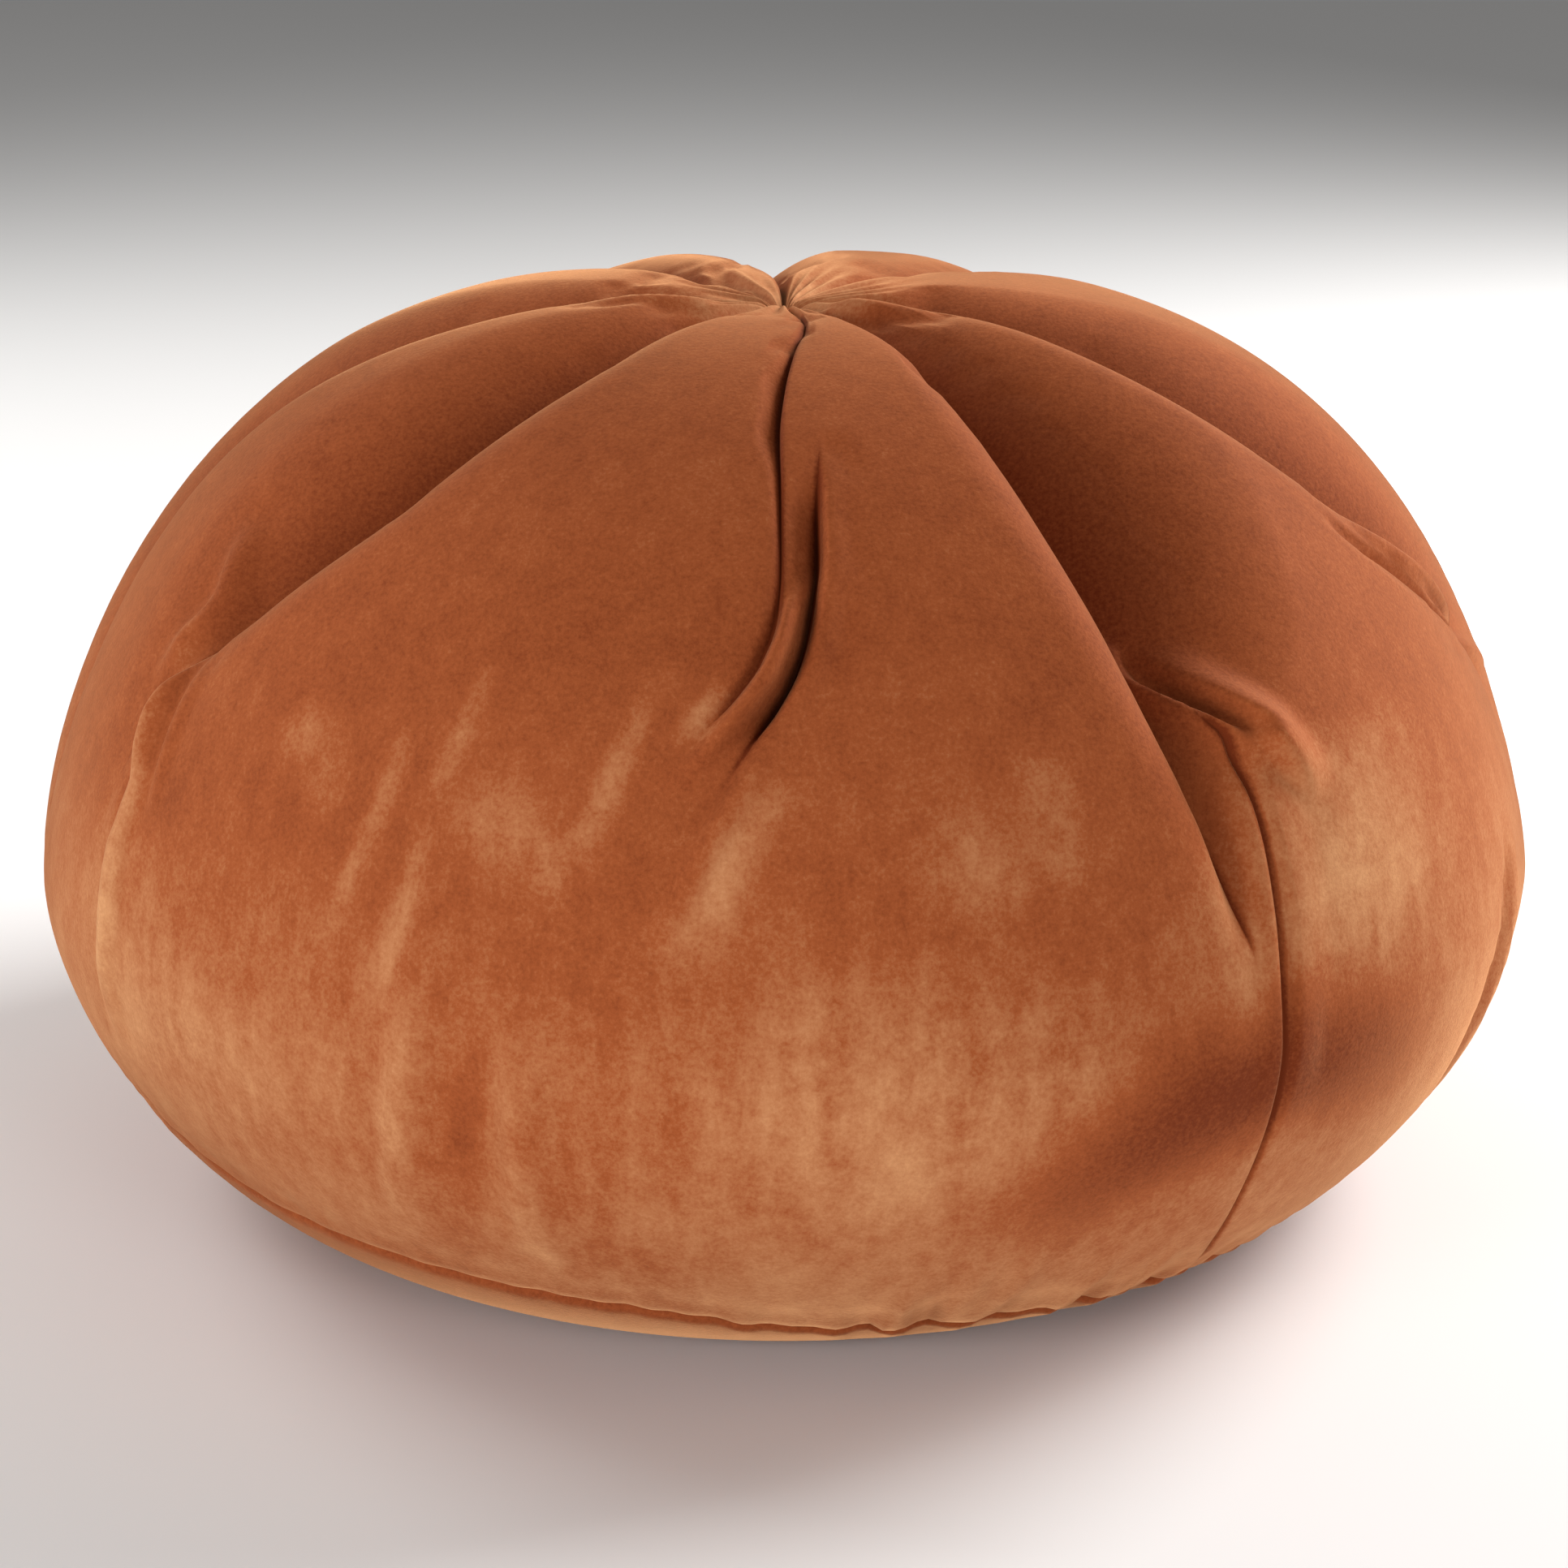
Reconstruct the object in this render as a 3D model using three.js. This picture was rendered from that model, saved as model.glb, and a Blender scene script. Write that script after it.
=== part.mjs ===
// A round velvet floor cushion shaped like a dumpling. One tall strip of cloth is closed by a side
// seam, laid in eight deep pleats and gathered at the top. A round base panel is sewn on below.
// Millimetres, +Z up, origin on the floor under the middle. The front of the cushion faces -Y.

import * as THREE from 'three';

// Driving dimensions
const cushionRadius = 225;
const crownHeight = 264;
const widestHeight = 98;
const footRadius = 148;
const gatherDip = 13;
const gatherDipRadius = 22;
const panelThickness = 3;
const pieceGap = 0.3;

// How square the outline is: across and up the crown, and round the foot. 2 is an ellipse.
const crownAcross = 3.4;
const crownUp = 1.45;
const footCurve = 1.7;

// Way along the cloth, from the middle of the gather down to each ring of the body
const gatherDown = 1;
const knotDown = 12;
const seamDown = 390;
const bodyRows = 33;
const knotRows = 4;

// The two cloth edges turn in where they are sewn together at the base seam
const seamTuck = [
  { away: 9, sink: 0 },
  { away: 4, sink: 0.7 },
  { away: 1.5, sink: 1.8 },
  { away: pieceGap / 2, sink: 3 },
];
const rimThickness = 0.8;
const panelRows = 4;
const floorRings = [0.97, 0.5];

// Pleats in order of azimuth. A section gives, at its way down the cloth, the crease's azimuth in
// degrees, its depth, how far its left and right walls reach, and how far its bottom leans.
// The curl of each wall is 2 for a quarter circle and 1 for a straight slope.
const pleatColumns = ['down', 'azimuth', 'depth', 'left', 'right', 'lean'];
const pleats = [
  { name: 'left', curl: { left: 1.6, right: 2 }, columns: 8, sections: [
    [12, -170, 6, 4, 4, 0],
    [50, -172, 18, 20, 14, 3],
    [110, -173, 32, 44, 28, 8],
    [160, -174, 32, 50, 32, 9],
    [210, -172, 22, 42, 28, 7],
    [255, -169, 9, 28, 20, 3],
    [300, -168, 0, 16, 16, 0],
  ] },
  { name: 'left front', curl: { left: 1.6, right: 2 }, columns: 14, sections: [
    [12, -124, 6, 4, 4, 0],
    [50, -127, 18, 20, 14, 4],
    [110, -132, 34, 42, 30, 9],
    [160, -138, 34, 50, 34, 11],
    [205, -143, 22, 44, 28, 8],
    [245, -146, 9, 26, 20, 3],
    [280, -147, 0, 12, 12, 0],
  ] },
  { name: 'front', curl: { left: 2, right: 2 }, columns: 12, sections: [
    [12, -84, 5, 4, 4, 0],
    [50, -86, 10, 5, 8, 0],
    [110, -89, 13, 7, 12, 0],
    [160, -87, 16, 10, 14, -2],
    [200, -88, 15, 10, 12, -3],
    [230, -92, 11, 10, 11, -3],
    [255, -96, 4, 9, 12, -1],
    [280, -99, 0, 9, 14, 0],
  ] },
  { name: 'right front', curl: { left: 2, right: 1.6 }, columns: 12, sections: [
    [12, -62, 6, 4, 4, 0],
    [50, -63, 18, 12, 22, -4],
    [110, -61, 34, 24, 42, -9],
    [160, -59, 38, 30, 56, -12],
    [205, -57, 26, 26, 54, -9],
    [245, -56, 9, 18, 30, -3],
    [280, -55.5, 1.5, 8, 8, 0],
    [350, -55.5, 1.2, 6, 6, 0],
    [380, -54.5, 0, 6, 6, 0],
  ] },
  { name: 'right', curl: { left: 2, right: 1.6 }, columns: 13, sections: [
    [12, -22, 6, 4, 4, 0],
    [50, -26, 18, 14, 22, -3],
    [110, -25, 32, 26, 46, -8],
    [160, -20, 34, 30, 56, -10],
    [210, -13, 26, 28, 46, -8],
    [260, -9, 12, 20, 30, -4],
    [310, -9, 0, 16, 18, 0],
  ] },
  { name: 'right back', curl: { left: 2, right: 1.8 }, columns: 10, sections: [
    [12, 42, 6, 4, 4, 0],
    [50, 41, 18, 16, 18, -3],
    [110, 45, 33, 32, 38, -6],
    [170, 51, 31, 36, 44, -8],
    [230, 55, 15, 28, 34, -3],
    [300, 56, 0, 18, 22, 0],
  ] },
  { name: 'back', curl: { left: 1.8, right: 2 }, columns: 10, sections: [
    [12, 91, 6, 4, 4, 0],
    [50, 95, 17, 16, 14, 2],
    [110, 99, 30, 36, 30, 5],
    [165, 98, 27, 42, 34, 6],
    [215, 94, 12, 30, 26, 2],
    [275, 92, 0, 20, 20, 0],
  ] },
  { name: 'left back', curl: { left: 1.8, right: 2 }, columns: 10, sections: [
    [12, 136, 6, 4, 4, 0],
    [50, 133, 18, 18, 14, 3],
    [110, 136, 34, 40, 30, 8],
    [175, 143, 33, 46, 34, 9],
    [240, 148, 16, 34, 26, 4],
    [315, 150, 0, 20, 18, 0],
  ] },
];

// Share of a lobe's columns that is spread evenly. The rest crowds towards the creases.
const evenShare = 0.38;

// A crease's bottom leans more sharply than its depth grows
const leanCurl = 1.5;

// Fineness of the outline's curve, and the reach over which its direction is read
const outlineSteps = 600;
const tangentReach = 1;

const velvet = new THREE.MeshStandardMaterial({ color: '#9a4424', roughness: 0.85, metalness: 0 });

// Plain outline of the filled cushion, without pleats, as a list of points along the cloth
function walkOutline(steps) {
  const quarter = Math.PI / 2;
  const points = [];
  for (let step = 0; step <= steps; step += 1) {
    const turn = quarter * (step / steps) ** 2;
    points.push({
      radius: cushionRadius * Math.sin(turn) ** (2 / crownAcross),
      height: widestHeight + (crownHeight - widestHeight) * Math.cos(turn) ** (2 / crownUp),
    });
  }
  for (let step = 1; step <= steps; step += 1) {
    const turn = quarter * step / steps;
    points.push({
      radius: footRadius + (cushionRadius - footRadius) * Math.cos(turn) ** (2 / footCurve),
      height: widestHeight * (1 - Math.sin(turn) ** (2 / footCurve)),
    });
  }
  let down = 0;
  points.forEach((point, index) => {
    const before = points[Math.max(index - 1, 0)];
    down += Math.hypot(point.radius - before.radius, point.height - before.height);
    point.down = down;
  });
  return points;
}

const outline = walkOutline(outlineSteps);
const footDown = outline.at(-1).down;

// Radius and height of the outline at a way down the cloth
function onOutline(down) {
  const after = Math.max(outline.findIndex((point) => point.down >= down), 1);
  const [from, to] = [outline[after - 1], outline[after]];
  const share = THREE.MathUtils.clamp((down - from.down) / (to.down - from.down), 0, 1);
  return new THREE.Vector2(
    THREE.MathUtils.lerp(from.radius, to.radius, share),
    THREE.MathUtils.lerp(from.height, to.height, share),
  );
}

// Smooth curve through a column of a pleat's sections that never overshoots them
function readColumn(sections, column, down) {
  const index = pleatColumns.indexOf(column);
  const slope = (row) => (sections[row + 1][index] - sections[row][index])
    / (sections[row + 1][0] - sections[row][0]);
  const turn = (row) => {
    if (row === 0 || row === sections.length - 1) return 0;
    const [before, after] = [slope(row - 1), slope(row)];
    return before * after > 0 ? 2 * before * after / (before + after) : 0;
  };
  const last = sections.length - 1;
  if (down <= sections[0][0]) return sections[0][index];
  if (down >= sections[last][0]) return sections[last][index];
  const row = sections.findIndex((section) => section[0] > down) - 1;
  const span = sections[row + 1][0] - sections[row][0];
  const share = (down - sections[row][0]) / span;
  const [square, cube] = [share ** 2, share ** 3];
  return (2 * cube - 3 * square + 1) * sections[row][index]
    + (cube - 2 * square + share) * span * turn(row)
    + (3 * square - 2 * cube) * sections[row + 1][index]
    + (cube - square) * span * turn(row + 1);
}

// Depth of a pleat's wall, as a share, at a share of its reach: 1 at the crease, 0 on the lobe
function wallDepth(share, curl) {
  const inside = 1 - THREE.MathUtils.clamp(share, 0, 1);
  return 1 - (1 - inside ** curl) ** (1 / curl);
}

// Point of the cushion's surface at an azimuth (radians) and a way down the cloth
function surfacePoint(azimuth, down, sink = 0) {
  const place = onOutline(down);
  const along = onOutline(Math.min(down + tangentReach, footDown))
    .sub(onOutline(Math.max(down - tangentReach, 0)))
    .normalize();
  let inwards = sink + gatherDip * Math.exp(-((place.x / gatherDipRadius) ** 2));
  let sideways = 0;
  for (const { sections, curl } of pleats) {
    const read = (column) => readColumn(sections, column, down);
    const turn = azimuth - THREE.MathUtils.degToRad(read('azimuth'));
    const across = place.x * (THREE.MathUtils.euclideanModulo(turn + Math.PI, 2 * Math.PI) - Math.PI);
    const side = across < 0 ? 'left' : 'right';
    const share = wallDepth(Math.abs(across) / read(side), curl[side]);
    inwards += read('depth') * share;
    sideways += read('lean') * share ** leanCurl;
  }
  const outward = new THREE.Vector3(Math.cos(azimuth), Math.sin(azimuth), 0);
  const beside = new THREE.Vector3(-Math.sin(azimuth), Math.cos(azimuth), 0);
  return outward.multiplyScalar(place.x + along.y * inwards)
    .addScaledVector(beside, sideways)
    .setZ(place.y - along.x * inwards);
}

// Azimuths of one ring's columns: each lobe's columns run from its crease to the next one
function ringAzimuths(down) {
  const creases = pleats.map(({ sections }) => readColumn(sections, 'azimuth', down));
  creases.push(creases[0] + 360);
  return pleats.flatMap(({ columns }, lobe) => Array.from({ length: columns }, (_, column) => {
    const even = column / columns;
    const crowded = (1 - Math.cos(Math.PI * even)) / 2;
    const share = evenShare * even + (1 - evenShare) * crowded;
    return THREE.MathUtils.degToRad(THREE.MathUtils.lerp(creases[lobe], creases[lobe + 1], share));
  }));
}

function surfaceRing(down, sink = 0, columnsDown = down) {
  return ringAzimuths(columnsDown).map((azimuth) => surfacePoint(azimuth, down, sink));
}

// Level ring of the foot, at a share of the foot's radius
function floorRing(share, height) {
  return ringAzimuths(seamDown).map((azimuth) => new THREE.Vector3(
    share * footRadius * Math.cos(azimuth), share * footRadius * Math.sin(azimuth), height));
}

// Closed skin from the middle of the first ring, over all rings, to the middle of the last one
function closedSkin(name, rings) {
  const around = rings[0].length;
  const middle = (ring) => ring.reduce((sum, point) => sum.add(point), new THREE.Vector3())
    .divideScalar(around);
  const points = [...rings.flat(), middle(rings[0]), middle(rings.at(-1))];
  const [first, last] = [points.length - 2, points.length - 1];
  const lastRing = (rings.length - 1) * around;
  const faces = [];
  for (let column = 0; column < around; column += 1) {
    const next = (column + 1) % around;
    faces.push(first, column, next);
    for (let start = 0; start < lastRing; start += around) {
      const below = start + around;
      faces.push(start + column, below + column, start + next);
      faces.push(start + next, below + column, below + next);
    }
    faces.push(last, lastRing + next, lastRing + column);
  }
  const geometry = new THREE.BufferGeometry().setFromPoints(points);
  geometry.setIndex(faces);
  geometry.computeVertexNormals();
  const mesh = new THREE.Mesh(geometry, velvet.clone());
  mesh.name = name;
  return mesh;
}

// Rings that follow the base panel's inner face, from the seam in to the middle of the floor
function underRings(clearance) {
  const rings = [];
  for (let row = 1; row < panelRows; row += 1) {
    const down = THREE.MathUtils.lerp(seamDown, footDown, row / panelRows);
    rings.push(surfaceRing(down, panelThickness + clearance, seamDown));
  }
  floorRings.forEach((share) => rings.push(floorRing(share, panelThickness + clearance)));
  return rings;
}

function pleatedBody() {
  const rings = [];
  for (let row = 0; row < knotRows; row += 1) {
    rings.push(surfaceRing(THREE.MathUtils.lerp(gatherDown, knotDown, row / knotRows)));
  }
  const lastPlain = seamDown - seamTuck[0].away;
  for (let row = 0; row < bodyRows; row += 1) {
    rings.push(surfaceRing(THREE.MathUtils.lerp(knotDown, lastPlain, row / bodyRows)));
  }
  seamTuck.forEach(({ away, sink }) => rings.push(surfaceRing(seamDown - away, sink)));
  const { away, sink } = seamTuck.at(-1);
  const rimSink = sink + rimThickness + pieceGap;
  rings.push(surfaceRing(seamDown - away, rimSink), surfaceRing(seamDown + away, rimSink, seamDown));
  rings.push(...underRings(pieceGap));
  return closedSkin('pleated_body', rings);
}

function basePanel() {
  const rings = underRings(0).reverse();
  const panelRing = (away, sink) => rings.push(surfaceRing(seamDown + away, sink, seamDown));
  const rim = seamTuck.at(-1);
  panelRing(rim.away, rim.sink + rimThickness);
  [...seamTuck].reverse().forEach(({ away, sink }) => panelRing(away, sink));
  for (let row = 1; row < panelRows; row += 1) {
    panelRing((footDown - seamDown) * row / panelRows, 0);
  }
  [1, ...floorRings].forEach((share) => rings.push(floorRing(share, 0)));
  return closedSkin('base_panel', rings);
}

const cushion = new THREE.Group();
cushion.add(pleatedBody(), basePanel());

export default cushion;
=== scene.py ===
import math

import bpy
import numpy as np
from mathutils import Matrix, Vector


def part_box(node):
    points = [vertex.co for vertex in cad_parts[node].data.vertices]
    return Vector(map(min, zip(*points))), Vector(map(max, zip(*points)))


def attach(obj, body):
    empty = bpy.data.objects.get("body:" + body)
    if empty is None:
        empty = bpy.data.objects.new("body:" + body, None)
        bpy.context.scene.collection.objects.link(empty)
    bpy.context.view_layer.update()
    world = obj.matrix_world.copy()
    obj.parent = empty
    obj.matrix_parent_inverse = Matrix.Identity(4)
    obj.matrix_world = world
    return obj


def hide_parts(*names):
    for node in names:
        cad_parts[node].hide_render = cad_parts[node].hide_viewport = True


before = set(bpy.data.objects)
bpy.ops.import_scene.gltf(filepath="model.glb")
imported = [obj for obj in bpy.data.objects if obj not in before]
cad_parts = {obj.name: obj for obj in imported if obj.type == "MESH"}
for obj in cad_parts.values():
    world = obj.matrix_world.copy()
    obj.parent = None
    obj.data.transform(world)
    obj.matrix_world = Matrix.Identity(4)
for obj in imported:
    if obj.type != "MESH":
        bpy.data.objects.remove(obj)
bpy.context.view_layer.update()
bpy.ops.object.select_all(action="DESELECT")

# Pleated body: one tall strip of rust velvet, closed by a side seam at the right front, laid in
# seven deep pleats and a narrow one in front, gathered at the top by hand stitches and filled.
# Small folds run out of the pleats. The strip's lower edge is sewn to the base panel.
MM = 0.001
body_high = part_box("pleated_body")[1]

# Sizes are in mm, and a point's place is its way down the cloth from the middle of the gather. The
# outline's two curves have the powers CROWN_ACROSS and CROWN_UP above its widest place, and
# FOOT_CURVE below it.
CUSHION_RADIUS = body_high.x / MM
CROWN_HEIGHT = 264.0
WIDEST_HEIGHT = 98.0
FOOT_RADIUS = 148.0
GATHER_DIP = 6.5
CROWN_ACROSS = 3.4
CROWN_UP = 1.45
FOOT_CURVE = 1.7
GATHER_DOWN = 1.0
KNOT_DOWN = 12.0
SEAM_DOWN = 390.0
PANEL_THICKNESS = 3.0
PIECE_GAP = 0.3
OUTLINE_STEPS = 900
TANGENT_REACH = 1.0
EVEN_SHARE = 0.42
LEAN_CURL = 1.5
BODY_ROW_STEP = 2.4
KNOT_ROWS = 8

# Pleats and seams, in order of azimuth. A section gives, at its way down the cloth, the crease's
# azimuth in degrees, its depth, how far its left and right walls reach, and how far its bottom
# leans, in mm. The curls of the two walls are 2 for a quarter circle and 1 for a straight slope.
PLEATS = (
    {"name": "left", "curls": (1.6, 2.0), "columns": 40, "sections": (
        (12, -170, 6, 4, 4, 0),
        (50, -172, 18, 20, 14, 3),
        (110, -173, 32, 44, 28, 8),
        (165, -175.5, 32, 50, 32, 9),
        (210, -173, 22, 42, 28, 7),
        (255, -169, 9, 28, 20, 3),
        (300, -168, 0, 16, 16, 0),
    )},
    {"name": "left front", "curls": (1.6, 2.0), "columns": 84, "sections": (
        (12, -124, 6, 4, 4, 0),
        (50, -127, 18, 20, 14, 4),
        (110, -130.6, 34, 42, 30, 9),
        (160, -135.6, 34, 50, 34, 11),
        (205, -142.5, 20, 42, 26, 8),
        (225, -145.5, 10, 30, 20, 4),
        (245, -147.5, 2, 26, 18, 1),
        (266, -148.5, 0, 26, 22, 0),
    )},
    {"name": "front slit", "curls": (1.2, 2.0), "columns": 14, "sections": (
        (12, -80, 2, 2, 1, 0),
        (48, -83, 1.6, 1.6, 0.6, 0),
        (83, -88.2, 2.2, 3.5, 0.7, 0),
        (108, -90.1, 4.5, 6, 1, 0),
        (127, -90.6, 4.5, 6, 1, 0),
        (149, -90.4, 2.5, 3, 0.8, 0),
        (176, -90.3, 2, 2.5, 0.8, 0),
        (190, -90.6, 2.5, 4, 1.2, 0),
        (203, -91.8, 3, 4, 1.2, 0),
        (212, -93.6, 2, 4, 1.6, 0),
        (222, -96.2, 0, 4, 2, 0),
        (270, -107, 0, 4, 3, 0),
    )},
    {"name": "front fold", "curls": (1.2, 2.0), "columns": 56, "sections": (
        (12, -76, 0, 2, 2, 0),
        (80, -82, 0, 6, 3, 0),
        (130, -86.0, 0, 11, 3, 0),
        (145, -86.4, 1.5, 12, 3, 0),
        (158, -86.7, 7, 12, 2.6, 0),
        (172, -86.9, 9, 11, 2.4, 0),
        (182, -87.4, 8, 9, 2.4, 0),
        (194, -88.1, 8, 6, 2.4, 0),
        (205, -89.2, 10, 5, 2.4, 0),
        (215, -90.8, 10, 6, 2.8, 0),
        (224, -92.5, 2, 7, 3, 0),
        (234, -94.2, 0.4, 8, 3, 0),
        (246, -96.0, 0, 9, 4, 0),
        (266, -99, 0, 9, 6, 0),
    )},
    {"name": "right front", "curls": (2.0, 1.6), "columns": 14, "sections": (
        (12, -60, 6, 4, 4, 0),
        (50, -60, 18, 12, 22, -4),
        (80, -59.6, 27, 18, 32, -7),
        (110, -60, 35, 24, 44, -9),
        (160, -59.3, 40, 30, 60, -12),
        (205, -58.8, 29, 26, 52, -9),
        (240, -58.3, 14, 20, 24, -4),
        (271, -57.4, 5, 14, 12, -1),
        (295, -57, 0, 10, 10, 0),
    )},
    {"name": "side seam", "curls": (1.5, 1.5), "columns": 80, "sections": (
        (12, -50, 0, 4, 4, 0),
        (180, -52, 0, 4, 4, 0),
        (222, -56.2, 0, 2, 2, 0),
        (233, -55, 2.4, 1.5, 1.4, 0),
        (253, -54.3, 2.4, 1.5, 1.4, 0),
        (280, -54.5, 2.4, 1.5, 1.4, 0),
        (312, -55.2, 2.4, 1.5, 1.4, 0),
        (345, -55.1, 2.4, 1.5, 1.4, 0),
        (368, -54.3, 2.4, 1.5, 1.4, 0),
        (384, -53.3, 0.4, 1.3, 1.2, 0),
    )},
    {"name": "right", "curls": (2.0, 1.6), "columns": 60, "sections": (
        (12, -22, 6, 4, 4, 0),
        (50, -26, 18, 14, 22, -3),
        (80, -27.2, 26, 20, 34, -6),
        (110, -27.5, 33, 26, 46, -8),
        (160, -23.6, 35, 30, 56, -10),
        (210, -14.6, 26, 28, 46, -8),
        (260, -9, 12, 20, 30, -4),
        (310, -9, 0, 16, 18, 0),
    )},
    {"name": "right back", "curls": (2.0, 1.8), "columns": 44, "sections": (
        (12, 42, 2, 4, 4, 0),
        (50, 41, 6, 16, 18, -2),
        (110, 45, 18, 32, 38, -4),
        (170, 51, 28, 36, 44, -8),
        (230, 55, 15, 28, 34, -3),
        (300, 56, 0, 18, 22, 0),
    )},
    {"name": "back", "curls": (1.8, 2.0), "columns": 40, "sections": (
        (12, 91, 6, 4, 4, 0),
        (50, 95, 17, 18, 15, 2),
        (110, 99, 30, 36, 30, 5),
        (165, 98, 27, 42, 34, 6),
        (215, 94, 12, 30, 26, 2),
        (275, 92, 0, 20, 20, 0),
    )},
    {"name": "left back", "curls": (1.8, 2.0), "columns": 44, "sections": (
        (12, 136, 6, 4, 4, 0),
        (50, 133, 18, 18, 14, 3),
        (110, 136, 34, 40, 30, 8),
        (175, 143, 33, 46, 34, 9),
        (240, 148, 16, 34, 26, 4),
        (315, 150, 0, 20, 18, 0),
    )},
)

# Small folds that run aslant. Each is a soft ridge, or a trough where its height is negative, with
# its reach to either side in mm, along stations of way down (mm) and azimuth (degrees). It fades
# out at both ends, by a half wave raised to FOLD_FADE.
FOLD_FADE = 0.85
FOLDS = (
    {"name": "flap of the front fold", "height": 5.5, "reach": (4, 4.5), "path": (
        (173, -87.4), (180, -88.4), (188, -89.3), (197, -90.1), (206, -91.3), (214, -92.9), (223, -95),
        (233, -97.4))},
    {"name": "rolled edge of the front fold", "height": 1.4, "reach": (1.8, 7), "path": (
        (138, -85.6), (150, -85.9), (165, -86.0), (178, -86.2), (190, -86.9), (202, -87.8),
        (213, -89.4), (224, -91.2), (235, -93), (246, -94.9), (262, -97.4))},
    {"name": "ridge below the front fold", "height": 2.2, "reach": (3, 9), "path": (
        (216, -90.4), (228, -92.2), (238, -93.8), (250, -95.8), (262, -97.4), (274, -98.8))},
    {"name": "ridge out of the right front pleat", "height": 7.5, "reach": (10, 3.5), "path": (
        (190, -57.8), (204, -57.4), (214, -56.9), (222, -56.3), (228, -55), (233, -53.4), (239, -51.4))},
    {"name": "trough above that ridge", "height": -8.5, "reach": (3.5, 4.5), "path": (
        (200, -57.3), (209, -56.8), (216, -56.1), (222, -55.2), (228, -54), (236, -52))},
    {"name": "second ridge beside it", "height": 7.0, "reach": (5, 14), "path": (
        (203, -56.4), (210, -55.8), (217, -55), (224, -53.8), (232, -52.4), (242, -50.6), (254, -48.8))},
    {"name": "trough between the edge and the side seam", "height": -3.0, "reach": (7, 6), "path": (
        (216, -59.6), (228, -58.8), (240, -57.9), (252, -57.5), (268, -57.5), (286, -57.8))},
    {"name": "left of the side seam", "height": 1.0, "reach": (9, 2), "path": (
        (236, -55.6), (260, -55.0), (300, -55.6), (340, -55.9))},
    {"name": "right of the side seam", "height": 1.6, "reach": (2, 14), "path": (
        (234, -53.8), (253, -53.1), (280, -53.3), (312, -54.1), (340, -54.2))},
    {"name": "first wrinkle of the left front lobe", "height": 4.5, "reach": (5, 9), "path": (
        (184, -149), (195, -148.4), (206, -147.4), (214, -147.6), (224, -148.6), (236, -149.2))},
    {"name": "second wrinkle of the left front lobe", "height": 4.0, "reach": (5, 7), "path": (
        (210, -144.2), (221, -145.4), (231, -145.9), (244, -145.8), (262, -145.5))},
    {"name": "long soft ridge below the left front pleat", "height": 3.0, "reach": (6, 9), "path": (
        (216, -148.6), (226, -147.4), (238, -146), (260, -145), (280, -145.6), (308, -145.6),
        (344, -146.4))},
    {"name": "thin ridge beside it", "height": 1.8, "reach": (3, 5), "path": (
        (222, -143), (236, -142.6), (250, -142.4), (268, -142))},
    {"name": "groove under the flap of the right pleat", "height": -5.5, "reach": (2.6, 2.6), "path": (
        (184, -31.2), (194, -29.2), (204, -26.4), (218, -21.6), (236, -16.4), (250, -11),
        (266, -4.5))},
    {"name": "flap of the right pleat", "height": 5.0, "reach": (3.5, 8), "path": (
        (186, -27.6), (196, -25.4), (206, -22.6), (220, -17.4), (236, -12), (250, -6.5),
        (264, -1))},
    {"name": "groove low on the right lobe", "height": -2.6, "reach": (4, 5), "path": (
        (286, -22.5), (300, -23.6), (312, -25), (326, -26.4), (340, -27), (354, -27.2), (370, -27.4))},
    {"name": "ridge beside that groove", "height": 1.6, "reach": (4, 7), "path": (
        (290, -20.4), (304, -21.6), (318, -23), (332, -24.2), (346, -24.8), (362, -25))},
    {"name": "soft fold low on the left front lobe", "height": 2.2, "reach": (9, 16), "path": (
        (262, -113.6), (284, -114.6), (304, -115.4), (326, -116), (350, -117), (374, -118))},
    {"name": "soft fold beside it", "height": 1.8, "reach": (8, 14), "path": (
        (296, -106.6), (322, -107.4), (346, -107.6), (370, -107))},
    {"name": "first pucker over the base seam", "height": 1.5, "reach": (2.5, 5), "path": (
        (362, -80.2), (373, -81), (384, -81.8), (395, -82.2))},
    {"name": "second pucker over the base seam", "height": 1.5, "reach": (2.5, 5), "path": (
        (358, -75.6), (370, -76.4), (382, -77.2), (395, -77.8))},
    {"name": "third pucker over the base seam", "height": 1.6, "reach": (2.5, 5), "path": (
        (354, -71.6), (367, -72.4), (380, -73.4), (395, -74.2))},
    {"name": "fourth pucker over the base seam", "height": 1.4, "reach": (2.5, 5), "path": (
        (360, -64.6), (372, -65.4), (384, -66.2), (396, -66.8))},
    {"name": "fifth pucker over the base seam", "height": 1.2, "reach": (2.5, 5), "path": (
        (362, -58.8), (374, -59.6), (385, -60.4), (396, -60.8))},
    {"name": "fold near the top of the left pleat", "height": 2.0, "reach": (4, 6), "path": (
        (22, -142), (34, -150), (48, -156), (62, -160))},
    {"name": "flap near the top of the right pleat", "height": 3.0, "reach": (5, 6), "path": (
        (18, -52), (28, -46), (40, -43), (54, -41))},
    {"name": "first dent of the back left lobe", "height": -3.0, "reach": (4, 5), "path": (
        (24, 150), (36, 140), (48, 134), (60, 130))},
    {"name": "second dent of the back left lobe", "height": -2.4, "reach": (4, 5), "path": (
        (18, 132), (28, 124), (38, 120), (50, 117))},
)


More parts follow.
